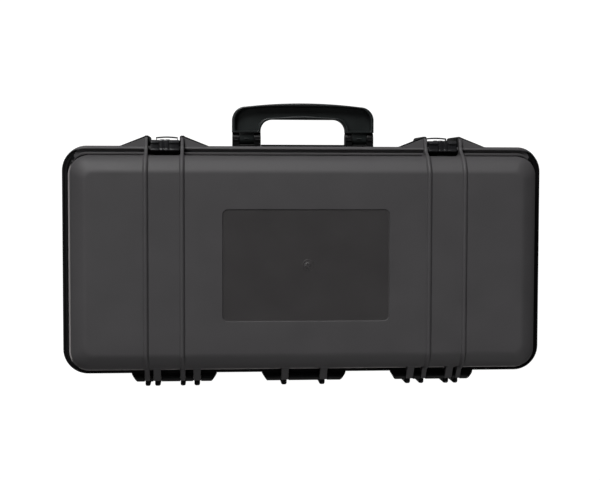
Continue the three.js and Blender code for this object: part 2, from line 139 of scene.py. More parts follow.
def rounded(corners, steps=6):
    """Points of a polygon whose corners [u, v, radius] are rounded."""
    points = []
    for i, (u, v, *extra) in enumerate(corners):
        radius = extra[0] if extra else 0.0
        here = Vector((u, v))
        if not radius:
            points.append((u, v))
            continue
        before = (Vector(corners[i - 1][:2]) - here).normalized()
        after = (Vector(corners[(i + 1) % len(corners)][:2]) - here).normalized()
        half = before.angle(after) / 2
        reach = radius / math.tan(half)
        centre = here + (before + after).normalized() * (radius / math.sin(half))
        start = here + before * reach - centre
        turn = math.pi - 2 * half
        turn = turn if start.cross(here - centre) > 0 else -turn
        for k in range(steps + 1):
            angle = turn * k / steps
            c, s = math.cos(angle), math.sin(angle)
            points.append((centre.x + start.x * c - start.y * s, centre.y + start.x * s + start.y * c))
    return points


def prism(outline, low, high, axis):
    """Points and faces of an outline pushed along X (outline in y, z) or Z (outline in x, y)."""
    if axis == "x":
        ends = [[(end, u, v) for u, v in outline] for end in (low, high)]
    else:
        ends = [[(u, v, end) for u, v in outline] for end in (low, high)]
    n = len(outline)
    sides = [(i, (i + 1) % n, (i + 1) % n + n, i + n) for i in range(n)]
    return ends[0] + ends[1], sides + [tuple(reversed(range(n))), tuple(range(n, 2 * n))]


def shrunk(outline, inset):
    """An outline moved inwards by an inset."""
    area = sum(a[0] * b[1] - b[0] * a[1] for a, b in zip(outline, outline[1:] + outline[:1]))
    turn = 1 if area > 0 else -1
    points = []
    for i, here in enumerate(outline):
        here = Vector(here)
        before = (here - Vector(outline[i - 1])).normalized()
        after = (Vector(outline[(i + 1) % len(outline)]) - here).normalized()
        normal = Vector((-before.y - after.y, before.x + after.x)).normalized() * turn
        slant = max(normal.dot(Vector((-after.y, after.x)) * turn), 0.5)
        points.append(tuple(here + normal * (inset / slant)))
    return points


def pillow(outline, low, high, radius, steps=4):
    """Points and faces of an outline in (y, z) pushed along X, with its end edges rounded."""
    rings = []
    for k in range(steps + 1):
        angle = math.pi / 2 * k / steps
        loop = shrunk(outline, radius * (1 - math.sin(angle)))
        rings.append((radius * (1 - math.cos(angle)), loop))
    first = [[(low + step, u, v) for u, v in loop] for step, loop in rings]
    last = [[(high - step, u, v) for u, v in loop] for step, loop in reversed(rings)]
    return skin(first + last)


def ring(half_x, half_y, radius, centre_y, z, steps=CORNER_STEPS):
    """A rounded rectangle, seen from above, as a list of points."""
    points = []
    for corner in range(4):
        sx = 1 if corner in (0, 3) else -1
        sy = 1 if corner < 2 else -1
        for k in range(steps + 1):
            angle = (corner + k / steps) * math.pi / 2
            x = sx * (half_x - radius) + radius * math.cos(angle)
            y = centre_y + sy * (half_y - radius) + radius * math.sin(angle)
            points.append((x, y, z))
    return points


def skin(rings, closed=False):
    """Points and faces through rings of the same length; open ends are capped."""
    count = len(rings[0])
    points = [p for r in rings for p in r]
    faces = []
    spans = len(rings) if closed else len(rings) - 1
    for k in range(spans):
        a, b = k * count, (k + 1) % len(rings) * count
        faces += [(a + i, a + (i + 1) % count, b + (i + 1) % count, b + i) for i in range(count)]
    if not closed:
        faces.append(tuple(range(count)))
        faces.append(tuple(reversed(range(len(points) - count, len(points)))))
    return points, faces


# ---- materials ----
def nodes_of(name):
    look = bpy.data.materials.new(name)
    look.use_nodes = True
    tree = look.node_tree
    return look, tree, tree.nodes["Principled BSDF"]


def noise(tree, scale, detail=3.0, rough=0.5):
    where = tree.nodes.new("ShaderNodeTexCoord")
    made = tree.nodes.new("ShaderNodeTexNoise")
    made.inputs["Scale"].default_value = scale
    made.inputs["Detail"].default_value = detail
    made.inputs["Roughness"].default_value = rough
    tree.links.new(where.outputs["Object"], made.inputs["Vector"])
    return made


def spread(tree, source, low, high, from_low=0.3, from_high=0.7):
    made = tree.nodes.new("ShaderNodeMapRange")
    made.inputs["From Min"].default_value = from_low
    made.inputs["From Max"].default_value = from_high
    made.inputs["To Min"].default_value = low
    made.inputs["To Max"].default_value = high
    tree.links.new(source, made.inputs["Value"])
    return made.outputs["Result"]


def moulded(name, colour, roughness, grain=0.00012, strength=0.35, mottling=0.06, specular=0.5):
    """Injection-moulded plastic: fine spark-eroded grain, faint mottling and roughness patches."""
    look, tree, shader = nodes_of(name)
    shader.inputs["Specular IOR Level"].default_value = specular
    fine = noise(tree, 1.0 / (grain * 10), 2.0)
    broad = noise(tree, 22.0, 4.0)
    tone = tree.nodes.new("ShaderNodeMix")
    tone.data_type = "RGBA"
    tone.inputs["A"].default_value = (*[c * (1 - mottling) for c in colour], 1)
    tone.inputs["B"].default_value = (*[c * (1 + mottling) for c in colour], 1)
    tree.links.new(spread(tree, broad.outputs["Fac"], 0, 1), tone.inputs["Factor"])
    tree.links.new(tone.outputs["Result"], shader.inputs["Base Color"])
    tree.links.new(
        spread(tree, broad.outputs["Fac"], roughness - 0.03, roughness + 0.03),
        shader.inputs["Roughness"],
    )
    bump = tree.nodes.new("ShaderNodeBump")
    bump.inputs["Strength"].default_value = strength
    bump.inputs["Distance"].default_value = grain
    tree.links.new(fine.outputs["Fac"], bump.inputs["Height"])
    tree.links.new(bump.outputs["Normal"], shader.inputs["Normal"])
    return look


def steel_look():
    look, tree, shader = nodes_of("bright_steel")
    shader.inputs["Base Color"].default_value = (0.62, 0.60, 0.57, 1)
    shader.inputs["Metallic"].default_value = 1.0
    grain = noise(tree, 900.0, 2.0)
    tree.links.new(spread(tree, grain.outputs["Fac"], 0.22, 0.36), shader.inputs["Roughness"])
    return look


def foam_look():
    look, tree, shader = nodes_of("charcoal_foam")
    cells = tree.nodes.new("ShaderNodeTexVoronoi")
    where = tree.nodes.new("ShaderNodeTexCoord")
    cells.inputs["Scale"].default_value = 700.0
    tree.links.new(where.outputs["Object"], cells.inputs["Vector"])
    tone = tree.nodes.new("ShaderNodeMix")
    tone.data_type = "RGBA"
    tone.inputs["A"].default_value = (0.008, 0.008, 0.009, 1)
    tone.inputs["B"].default_value = (0.034, 0.034, 0.037, 1)
    tree.links.new(spread(tree, cells.outputs["Distance"], 0, 1, 0.0, 0.6), tone.inputs["Factor"])
    tree.links.new(tone.outputs["Result"], shader.inputs["Base Color"])
    shader.inputs["Roughness"].default_value = 0.95
    shader.inputs["Specular IOR Level"].default_value = 0.2
    bump = tree.nodes.new("ShaderNodeBump")
    bump.inputs["Strength"].default_value = 0.6
    bump.inputs["Distance"].default_value = 0.0006
    tree.links.new(cells.outputs["Distance"], bump.inputs["Height"])
    tree.links.new(bump.outputs["Normal"], shader.inputs["Normal"])
    return look


LID = moulded("lid_plastic", (0.070, 0.067, 0.070), 0.6, strength=0.25, mottling=0.05, specular=0.5)
# Painted highlight: a far paler copy of the lid plastic, put on the lip's outer faces to stand in for the
# bright reflected line along the lid's lower edge.
LID_LIP_HIGHLIGHT = moulded("lid_lip_painted_highlight", (0.30, 0.28, 0.28), 0.35, strength=0.1, mottling=0.05)
LABEL_FLOOR = moulded("label_floor", (0.052, 0.049, 0.050), 0.4, strength=0.1, mottling=0.04)
BLACK = moulded("base_plastic", (0.0038, 0.0038, 0.0042), 0.42, mottling=0.1, specular=0.2)
GLOSS = moulded("latch_plastic", (0.020, 0.020, 0.022), 0.28, strength=0.1, mottling=0.1, specular=0.4)
GRIP = moulded("handle_plastic", (0.014, 0.0175, 0.0175), 0.42, mottling=0.2)
RUBBER = moulded("gasket_rubber", (0.010, 0.010, 0.010), 0.7, strength=0.2)
STEEL = steel_look()
FOAM = foam_look()


# ---- the shells' section ----
def wall_ring(inset, extra, z, radius=None):
    radius = max(WALL_RADIUS - inset + extra * 0.6, 4) if radius is None else radius
    return ring(WALL_X - inset + extra, WALL_Y - inset + extra, radius, WALL_CENTRE_Y, z)


def shoulder_points(inset, steps=14):
    """(outward, up as a share) along the shoulder: a power curve from the wall, rounded into the face."""
    inward = SHOULDER_IN - inset
    for k in range(steps + 1):
        up = FACE_BREAK * k / steps
        yield -inward * up**SHOULDER_POWER, up
    start = FACE_BREAK**SHOULDER_POWER
    corner = start * (1 + SHOULDER_POWER * (1 - FACE_BREAK) / FACE_BREAK)
    for t in (0.25, 0.5, 0.75, 1.0):
        before, at, after = (1 - t) ** 2, 2 * t * (1 - t), t * t
        outward = before * start + at * corner + after * (2 * corner - start)
        yield -inward * outward, before * FACE_BREAK + at + after


def seal_ring(offset, z):
    """A ring under the middle of the lid's wall, where the gasket and its groove lie."""
    middle = DRAFT - LID_WALL / 2
    return ring(WALL_X + middle + offset, WALL_Y + middle + offset, WALL_RADIUS + offset, WALL_CENTRE_Y, z)


def lip_ring(extra, z):
    """A ring of the lip round the lid's lower edge, which the front does without."""
    front = min(extra, FRONT_DRAFT)
    half_y = WALL_Y + (extra + front) / 2
    radius = WALL_RADIUS + extra * 0.6
    return ring(WALL_X + extra, half_y, radius, WALL_CENTRE_Y + (extra - front) / 2, z)


def lid_shell():
    shoulder = LID_TOP - SHOULDER_UP
    floor = LID_TOP - LABEL_DEPTH

    def label(shrink, z):
        return ring(LABEL_X - shrink, LABEL_Y - shrink, LABEL_RADIUS - shrink, LABEL_MIDDLE_Y, z)

    rings = [label(3.0, floor), label(1.0, floor), label(0.45, floor + 0.15)]
    rings += [label(0.1, floor + 0.55), label(0.0, LID_TOP - 0.25), label(-0.3, LID_TOP)]
    rings.append(label(-1.5, LID_TOP))
    outer = [(e, shoulder + u * SHOULDER_UP) for e, u in shoulder_points(0)]
    rings += [wall_ring(0, e, z) for e, z in reversed(outer)]
    rings += [wall_ring(0, DRAFT * 0.4, (shoulder + LID_LOW) / 2), lip_ring(1.5, LID_LOW + 6.2)]
    rings += [lip_ring(extra, LID_LOW + rise) for extra, rise in LIP_SECTION]
    rings.append(wall_ring(LID_WALL, DRAFT, LID_LOW))
    roof = LID_TOP - LID_ROOF
    inner = [(e, shoulder + u * (roof - shoulder)) for e, u in shoulder_points(LID_WALL, 6)]
    rings += [wall_ring(LID_WALL, e, z) for e, z in inner]
    points, faces = skin(rings)
    made = piece("lid_shell_skin", points, faces, LID, "lid", smooth=25)
    made.data.materials.append(LABEL_FLOOR)
    made.data.materials.append(LID_LIP_HIGHLIGHT)
    for face in made.data.polygons:
        x, z = abs(face.center.x) / MM, face.center.z / MM
        y = face.center.y / MM - SHIFT_Y
        in_label = x < LABEL_X and abs(y - LABEL_MIDDLE_Y) < LABEL_Y
        if in_label and roof + 1 < z < floor + 0.3 and face.normal.z > 0.3:
            face.material_index = 1
        # Outer lip faces get the pale material: a painted highlight along the lid's lower edge.
        outside = x > WALL_X or abs(y - WALL_CENTRE_Y) > WALL_Y
        if LID_LOW < z < LID_LOW + LIP_SECTION[0][1] and outside:
            face.material_index = 2


def section_path(z_low, steps=10):
    """The lid's outline across the case, in (y, z), from the front wall over the face to the rear."""
    shoulder = LID_TOP - SHOULDER_UP
    half = [(WALL_Y + DRAFT, z_low)]
    half += [(WALL_Y + e, shoulder + u * SHOULDER_UP) for e, u in shoulder_points(0, steps)]
    front = [(WALL_CENTRE_Y - y, z) for y, z in half]
    rear = [(WALL_CENTRE_Y + y, z) for y, z in reversed(half)]
    path = [Vector(p) for p in front + rear]
    result = []
    for i, p in enumerate(path):
        before = path[max(i - 1, 0)]
        after = path[min(i + 1, len(path) - 1)]
        along = (after - before).normalized()
        result.append((p, Vector((-along.y, along.x))))
    return result


def lid_ribs():
    """Low ribs with rounded crests and flared feet, swept over the lid's section."""
    profile = [(-4.6, -0.6), (-4.2, 0.05), (-3.6, 0.25)]
    for k in range(9):
        angle = math.radians(168 - 156 * k / 8)
        profile.append((3.3 * math.cos(angle), RIB_STAND * math.sin(angle)))
    profile += [(3.6, 0.25), (4.2, 0.05), (4.6, -0.6)]
    for i, x in enumerate(RIB_X):
        rings = []
        for p, normal in section_path(LID_LOW + 1):
            rings.append([(x + u, *(p + normal * h)) for u, h in profile])
        points, faces = skin(rings)
        piece(f"lid_rib_{i + 1}", points, faces, LID, "lid", smooth=50)


def lid_guards():
    """Guard plates beside the latches, curving out of the lid's front wall."""
    tip = -RIM_Y - LID_REACH
    outline = rounded(
        [
            (FRONT_Y + 2, LID_LOW),
            (FRONT_Y + 2, LID_TOP - 14),
            (FRONT_Y - 1.4, LID_TOP - 20, 12),
            (FRONT_Y - 6, LID_LOW + 13, 14),
            (tip, LID_LOW + 8, 3),
            (tip, LID_LOW),
        ]
    )
    for i, x in enumerate(RIB_X):
        points, faces = pillow(outline, x - LID_GUARD_WIDTH / 2, x + LID_GUARD_WIDTH / 2, 1.3)
        piece(f"lid_guard_{i + 1}", points, faces, LID, "lid", smooth=50)


def gussets(prefix, z_low, z_high, look, body, proud=0.0, fall=0.0):
    """Triangular webs from each latch guard along the front edge; their tops may fall outwards."""
    for i, x in enumerate(RIB_X):
        away = math.copysign(1, x) * (1 if abs(x) > LATCH_X else -1)
        outline = rounded(
            [
                (x + away * 1.6, -RIM_Y + 2),
                (x + away * (GUSSET_LENGTH + 2 + 2 * proud), -RIM_Y + 2),
                (x + away * (GUSSET_LENGTH + 2 + 2 * proud), -RIM_Y),
                (x + away * (GUSSET_LENGTH + 2 * proud), -RIM_Y - 0.4, 4),
                (x + away * 3, -RIM_Y - LID_REACH + 0.6 - proud),
                (x + away * 2, -RIM_Y - LID_REACH + 0.6 - proud),
            ]
        )
        points, faces = prism(outline, z_low, z_high, "z")
        points = [(px, py, z - fall * max(-RIM_Y - py, 0) if z == z_high else z) for px, py, z in points]
        piece(f"{prefix}_{i + 1}", points, faces, look, body, bevel=0.4)


def corner_stations(corner_turn, steps=12):
    """Round the lid's right front corner: centre x and y, outward direction, share of full size."""
    stations = []
    for k in range(steps + 1):
        angle = math.radians(corner_turn * (1 - k / steps))
        share = math.cos(angle / math.radians(corner_turn) * math.pi / 2)
        outward = (math.sin(angle), -math.cos(angle))
        stations.append((RIM_X - RIM_RADIUS, RIM_RADIUS - RIM_Y, outward, share))
    return stations


def mirrored(stations):
    return [(-x, y, (-out[0], out[1]), share) for x, y, out, share in reversed(stations)]


def straight_station(x):
    return (x, RIM_RADIUS - RIM_Y, (0.0, -1.0), 1.0)


def swept_edge(name, profile, anchor, stations, look=LID):
    """A profile of (inset from the rim, rise) along stations; round a corner it shrinks to the anchor."""
    rings = []
    for x, y, out, share in stations:
        loop = []
        for inset, rise in profile:
            reach = RIM_RADIUS - anchor - (inset - anchor) * max(share, 0.25)
            loop.append((x + out[0] * reach, y + out[1] * reach, LID_LOW + rise * max(share, 0.04)))
        rings.append(loop)
    points, faces = skin(rings)
    piece(name, points, faces, look, "lid", smooth=42)


def lid_front_edge():
    """The rail that the latches hold, black webs at the corners as painted shade of the groove, and the
    channel and ledge behind.
    """
    rail = [(0.0, 0.0), (0.0, 3.0), (0.35, 3.9), (1.0, 4.7), (1.9, 5.4)]
    rail += [(2.9, 5.9), (3.8, 6.15), (4.4, 6.0), (4.6, 5.4), (4.6, 0.0)]
    ledge = [(8.8, 0.0), (8.8, 4.1), (8.95, 4.45), (9.3, 4.6)]
    ledge += [(11.5, 4.6), (12.1, 4.3), (12.3, 3.6), (12.3, 0.0)]
    channel = [(0.6, 0.0), (0.6, 1.2), (12.8, 1.2), (12.8, 0.0)]
    tail = corner_stations(46)
    swept_edge("lid_rail", rail, 0.3, tail + mirrored(tail))
    corner = corner_stations(58)
    # The corner webs belong to the lid but are made of the black base plastic: painted shade, standing in
    # for the shadow that darkens the groove along the straight edge.
    web = [(1.2, 0.05), (1.2, 0.5), (16.0, 0.5), (16.0, 0.05)]
    full = [(x, y, out, min(1.0, share * 3)) for x, y, out, share in corner]
    swept_edge("lid_corner_shade_web_right", web, 16.0, full, BLACK)
    swept_edge("lid_corner_shade_web_left", web, 16.0, mirrored(full), BLACK)
    bay = [LATCH_X - 25.0, LATCH_X + 25.0]
    right = corner + [straight_station(bay[1])]
    middle = [straight_station(bay[0]), straight_station(-bay[0])]
    for part, stations in (("right", right), ("middle", middle), ("left", mirrored(right))):
        swept_edge(f"lid_ledge_{part}", ledge, 12.3, stations)
        swept_edge(f"lid_channel_{part}", channel, 12.8, stations)


def lid_plates():
    """Hinge plates that wrap round the pins."""
    for i, (x, width) in enumerate(PLATES):
        arc = []
        for k in range(13):
            angle = math.radians(70 - 250 * k / 12)
            arc.append((HINGE_Y + KNUCKLE * math.cos(angle), HINGE_Z + KNUCKLE * math.sin(angle)))
        outline = [(REAR_Y - 2, LID_LOW), (REAR_Y - 2, HINGE_Z + 21), (REAR_Y + 0.5, HINGE_Z + 18)]
        outline += [(REAR_Y + 4, HINGE_Z + 12.5)] + arc
        outline = [p for p in outline if p[1] >= LID_LOW or p[0] > HINGE_Y - KNUCKLE + 0.2]
        points, faces = prism(outline, x - width / 2, x + width / 2, "x")
        piece(f"lid_hinge_plate_{i + 1}", points, faces, LID, "lid", bevel=0.6)


def gate_mark():
    """The small nub and ring that the mould's gate leaves in the label recess."""
    floor = LID_TOP - LABEL_DEPTH
    profile = [(8.5, -0.2), (8.2, 0.06), (7.4, 0.1), (6.6, 0.02)]
    profile += [(4.2, 0.02), (3.6, 0.5), (2.6, 0.8), (1.2, 0.55)]
    turn = [2 * math.pi * k / 40 for k in range(40)]
    rings = []
    for r, h in profile:
        rings.append([(-2 + r * math.cos(a), LABEL_MIDDLE_Y + r * math.sin(a), floor + h) for a in turn])
    points, faces = skin(rings)
    piece("lid_gate_mark", points, faces, LABEL_FLOOR, "lid", smooth=60)


# ---- base ----
def base_shell():
    shoulder = BASE_LOW + SHOULDER_UP
    rings = []
    outer = [(e, shoulder - u * SHOULDER_UP) for e, u in shoulder_points(0)]
    rings += [wall_ring(0, e, z) for e, z in reversed(outer)]
    rings.append(wall_ring(0, DRAFT, RIM_LOW - 3))

    half_y, middle_y = (RIM_Y + RIM_REAR) / 2, (RIM_REAR - RIM_Y) / 2

    def rim(shrink, z):
        return ring(RIM_X - shrink, half_y - shrink, RIM_RADIUS - shrink, middle_y, z)

    rings += [rim(6.0, RIM_LOW), rim(2.6, RIM_LOW), rim(0.8, RIM_LOW + 0.8), rim(0.0, RIM_LOW + 2.8)]
    top = RIM_TOP - 0.3
    for k in range(7):
        angle = math.radians(15 * k)
        rings.append(rim(1.9 * (1 - math.cos(angle)), top - 1.9 * (1 - math.sin(angle))))
    rings += [rim(inset, top - drop) for inset, drop in RIM_SECTION]
    groove = ((2.3, 0), (2.0, 0.3), (2.0, 3.7), (-2.0, 3.7), (-2.0, 0.3), (-2.3, 0))
    rings += [seal_ring(offset, top - drop) for offset, drop in groove]
    rings += [wall_ring(BASE_WALL, DRAFT + 0.6, top), wall_ring(BASE_WALL, DRAFT, top - 0.6)]
    floor = BASE_LOW + BASE_FLOOR
    inner = [(e, shoulder - u * (shoulder - floor)) for e, u in shoulder_points(BASE_WALL, 6)]
    rings += [wall_ring(BASE_WALL, e, z) for e, z in inner]
    points, faces = skin(rings)
    piece("base_shell_skin", points, faces, BLACK, "base", smooth=30)


def base_runners():
    """Runners that end as latch guards and feet; their inner edge comes through floor and walls."""
    tip, foot = -RIM_Y - BASE_REACH, RIM_Y + FIN_REACH
    outline = rounded(
        [
            (tip, RIM_TOP - 0.3, 3),
            (tip, 0, 16),
            (foot, 0, 16),
            (foot, FIN_TOP, 4),
            (REAR_Y - 4, FIN_TOP),
            (REAR_Y - 30, 12, 10),
            (FRONT_Y + 30, 12, 10),
            (FRONT_Y + 4, RIM_TOP - 0.3),
        ],
        8,
    )
    for i, x in enumerate(RIB_X):
        points, faces = pillow(outline, x - BASE_GUARD_WIDTH / 2, x + BASE_GUARD_WIDTH / 2, 2.4)
        piece(f"base_runner_{i + 1}", points, faces, BLACK, "base", smooth=50)


def base_fins():
    """Fins that end as feet; they start inside the base and come through its rear wall."""
    foot = RIM_Y + FIN_REACH
    inner = REAR_Y - 24
    low = BASE_LOW + 1
    outline = rounded([(inner, low), (foot, low, 14), (foot, FIN_TOP, 4), (inner, FIN_TOP)], 8)
    for i, x in enumerate(WIDE_PLATE_X):
        points, faces = pillow(outline, x - FIN_WIDTH / 2, x + FIN_WIDTH / 2, 2.6)
        piece(f"base_fin_{i + 1}", points, faces, BLACK, "base", smooth=50)


def hinge_blocks():
    """Trapezoid blocks whose knuckles stand between the lid's plates."""
    slope = (BLOCK_TOP - BLOCK_END) / BLOCK_REACH
    face = RIM_Y + BLOCK_REACH
    knuckle = []
    for k in range(11):
        angle = math.radians(170 - 170 * k / 10)
        knuckle.append((HINGE_Y + KNUCKLE * math.cos(angle), HINGE_Z + KNUCKLE * math.sin(angle)))
    tall = [(RIM_Y - 5, RIM_LOW + 1), (RIM_Y - 5, RIM_TOP - 0.4)] + knuckle
    tall += [(face, HINGE_Z - 1.2), (face, RIM_LOW + 1.6), (face - 0.8, RIM_LOW + 1)]
    low = [(RIM_Y - 5, RIM_LOW), (RIM_Y - 5, 79.5), (face - 0.3, 79.5)]
    low += [(face - 0.3, RIM_LOW + 1), (face - 1.3, RIM_LOW)]
    for i, middle in enumerate(BLOCK_X):
        cuts = sorted((x - w / 2 - 0.5, x + w / 2 + 0.5) for x, w in PLATES if abs(x - middle) < BLOCK_TOP)
        marks = [middle - BLOCK_TOP] + [v for pair in cuts for v in pair] + [middle + BLOCK_TOP]
        spans = [(low, marks[0], marks[-1], "bed")]
        spans += [(tall, marks[k], marks[k + 1], f"tooth_{k // 2 + 1}") for k in range(0, len(marks), 2)]
        for outline, x0, x1, name in spans:
            points, faces = prism(outline, x0, x1, "x")
            lean = []
            for x, y, z in points:
                if x == marks[0]:
                    x += slope * max(y - RIM_Y, 0)
                elif x == marks[-1]:
                    x -= slope * max(y - RIM_Y, 0)
                lean.append((x, y, z))
            piece(f"hinge_block_{i + 1}_{name}", lean, faces, BLACK, "base", bevel=0.4)


def base_plinth():
    """The pad behind the handle, and a web across the foot of each latch bay."""
    outline = rounded([(-150.0, 33.0, 1), (-150.0, 74.0), (-143.0, 76.0), (-143.0, 31.0)])
    points, faces = prism(outline, -108, 108, "x")
    piece("base_plinth", points, faces, BLACK, "base", bevel=0.8)
    web = [(-167.0, 30.0), (-167.0, 33.0), (-143.0, 33.0), (-143.0, 30.0)]
    for side, sign in (("left", -1), ("right", 1)):
        points, faces = prism(web, *bay_span(sign), "x")
        piece(f"latch_bay_web_{side}", points, faces, BLACK, "base", bevel=0.5)


def bay_span(sign):
    """The X range between the two guards of a latch."""
    return sorted((sign * (LATCH_X - 23.0), sign * (LATCH_X + 23.0)))


def gasket():
    """A round ring moulded in one piece, set in the rim's groove."""
    rings = []
    for k in range(12):
        angle = 2 * math.pi * k / 12
        offset = 1.65 * math.cos(angle)
        rings.append(seal_ring(offset, RIM_TOP - 1.9 + 1.85 * math.sin(angle)))
    points, faces = skin(rings, closed=True)
    made = piece("lid_gasket_cord", points, faces, RUBBER, "base", smooth=60)
    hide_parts("lid_gasket")


# ---- foam ----
def foam_pads():
    """A convoluted pad in the lid and a pad cut into plucking squares in the base."""
    low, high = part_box("lid_foam")
    half_x, half_y = high[0] / MM, (high[1] - low[1]) / 2 / MM
    nx, ny = 168, 72
    top, deep = high[2] / MM, low[2] / MM
    wave = 2 * math.pi / 36

    def egg(x, y):
        rim = min(1.0, (half_x - abs(x)) / 8, (half_y - abs(y - WALL_CENTRE_Y)) / 8)
        lump = (math.cos(wave * x) * math.cos(wave * (y - WALL_CENTRE_Y)) + 1) / 2
        return deep + 0.4 + 11 * (1 - lump) * max(rim, 0) ** 0.5

    made = slab("lid_foam_pad", half_x, half_y, nx, ny, top, egg)
    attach(made, "lid")
    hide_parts("lid_foam")
    low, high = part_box("base_foam")
    half_x, half_y = high[0] / MM, (high[1] - low[1]) / 2 / MM
    pitch = half_x * 2 / 32

    def plucked(x, y):
        groove = 0.0
        for value in (x, y - WALL_CENTRE_Y):
            off = abs((value / pitch + 0.5) % 1 - 0.5) * pitch
            groove = max(groove, 1 - off / 1.1)
        return high[2] / MM - 0.2 - 1.6 * max(groove, 0)

    made = slab("base_foam_pad", half_x, half_y, 288, 120, low[2] / MM, plucked)
    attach(made, "base")
    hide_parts("base_foam")


def slab(name, half_x, half_y, nx, ny, flat, surface):
    """A block with one level face and one face given by a height function."""
    points = []
    for j in range(ny + 1):
        for i in range(nx + 1):
            x = -half_x + 2 * half_x * i / nx
            y = WALL_CENTRE_Y - half_y + 2 * half_y * j / ny
            points.append((x, y, surface(x, y)))
    shift = len(points)
    border = list(range(nx + 1))
    border += [nx + j * (nx + 1) for j in range(1, ny + 1)]
    border += [ny * (nx + 1) + i for i in reversed(range(nx))]
    border += [j * (nx + 1) for j in reversed(range(1, ny))]
    points += [(points[k][0], points[k][1], flat) for k in border]
    faces = []
    for j in range(ny):
        for i in range(nx):
            a = j * (nx + 1) + i
            faces.append((a, a + 1, a + nx + 2, a + nx + 1))
    n = len(border)
    faces += [(border[k], shift + k, shift + (k + 1) % n, border[(k + 1) % n]) for k in range(n)]
    faces.append(tuple(shift + k for k in range(n)))
    made = piece(name, points, faces, FOAM, "base", smooth=60)
    return made


# ---- handle ----
def handle():
    """A grip with an I-shaped section, swept from one leg round to the other."""
    crown, side_arch = RIM_Y + 62.0, 5.0
    outer_x, inner_x = 101.6, 61.0
    gap = RIM_Y + 39.0
    leg_end = RIM_Y + 11.0 + 9.5
    middle, thick = 56.0, 22.0
    outer_r, inner_r = 19.0, 17.0

    def half_curves():
        pairs = [((outer_x, leg_end + up), (inner_x, leg_end + up)) for up in (0.0, 2.0, 2.8, 3.6)]
        side = crown - side_arch
        for k in range(17):
            angle = math.pi / 2 * k / 16
            outer = (outer_x - outer_r * (1 - math.cos(angle)), side - outer_r * (1 - math.sin(angle)))
            inner = (inner_x - inner_r * (1 - math.cos(angle)), gap - inner_r * (1 - math.sin(angle)))
            pairs.append((outer, inner))
        reach_out, reach_in = outer_x - outer_r, inner_x - inner_r
        for k in range(1, 13):
            share = 1 - k / 12
            x = reach_out * share
            pairs.append(((x, crown - side_arch * (x / reach_out) ** 2), (reach_in * share, gap)))
        return pairs

    half = half_curves()
    pairs = half + [((-o[0], o[1]), (-i[0], i[1])) for o, i in reversed(half[:-1])]
    rings = []
    rim, pocket = 2.5, 10.2
    count = len(pairs)
    for n, (outer, inner) in enumerate(pairs):
        width = math.dist(outer, inner)
        sunk = pocket if 2 <= n < count - 2 else 0.0
        t = thick / 2
        bead = [math.radians(180 - 22.5 * k) for k in range(9)]
        side = [(rim + rim * math.cos(a), rim * (1 - math.sin(a))) for a in bead]
        side.append((rim * 2 + 0.3, sunk))
        side = [(u, t - (drop if u < rim else min(drop, sunk))) for u, drop in side]
        web = [(width * share, t - sunk) for share in (0.35, 0.5, 0.65)]
        upper = side + web + [(width - u, v) for u, v in reversed(side)]
        loop = upper + [(u, -v) for u, v in reversed(upper)]
        points = []
        for u, v in loop:
            share = u / width
            x = outer[0] + (inner[0] - outer[0]) * share
            y = outer[1] + (inner[1] - outer[1]) * share
            points.append((x, -y, middle + v))
        rings.append(points)
    points, faces = skin(rings)
    made = piece("handle_grip", points, faces, GRIP, "carry_handle", smooth=40)
    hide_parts("handle")
    for side, sign in (("left", -1), ("right", 1)):
        arc = []
        for k in range(13):
            angle = math.radians(-90 + 180 * k / 12)
            arc.append((LUG_Y + 7.5 * math.cos(angle), middle + 7.5 * math.sin(angle)))
        outline = arc + [(-leg_end - 1, middle + 7.5), (-leg_end - 1, middle - 7.5)]
        points, faces = pillow(outline, sign * LUG_X - 10.55, sign * LUG_X + 10.55, 0.4)
        piece(f"handle_tongue_{side}", points, faces, GRIP, "carry_handle")
        bar = rounded([(-173.4, 63.2), (-173.0, 64.3, 0.4), (-171.8, 64.3, 0.4), (-171.4, 63.2)])
        points, faces = prism(bar, sign * LUG_X - 3.4, sign * LUG_X + 3.4, "x")
        piece(f"handle_tongue_bar_{side}", points, faces, GRIP, "carry_handle", bevel=0.2)


def lug_details():
    """Webs behind the handle's tongues, and a ridge across each cheek of the lugs."""
    web = rounded([(-164.4, 50, 1), (-164.4, 62, 1), (-153.5, 62), (-153.5, 50)])
    ridge = rounded([(-169.0, 64.6), (-169.4, 66.3, 0.4), (-170.8, 66.3, 0.5), (-172.4, 64.8)])
    for side, sign in (("left", -1), ("right", 1)):
        points, faces = prism(web, sign * LUG_X - 10.8, sign * LUG_X + 10.8, "x")
        piece(f"lug_web_{side}", points, faces, BLACK, "base", bevel=0.4)
        for hand, far in ((-1, "inner"), (1, "outer")):
            middle = sign * LUG_X + hand * sign * 15.4
            points, faces = prism(ridge, middle - 3.6, middle + 3.6, "x")
            piece(f"lug_ridge_{side}_{far}", points, faces, BLACK, "base", bevel=0.3)


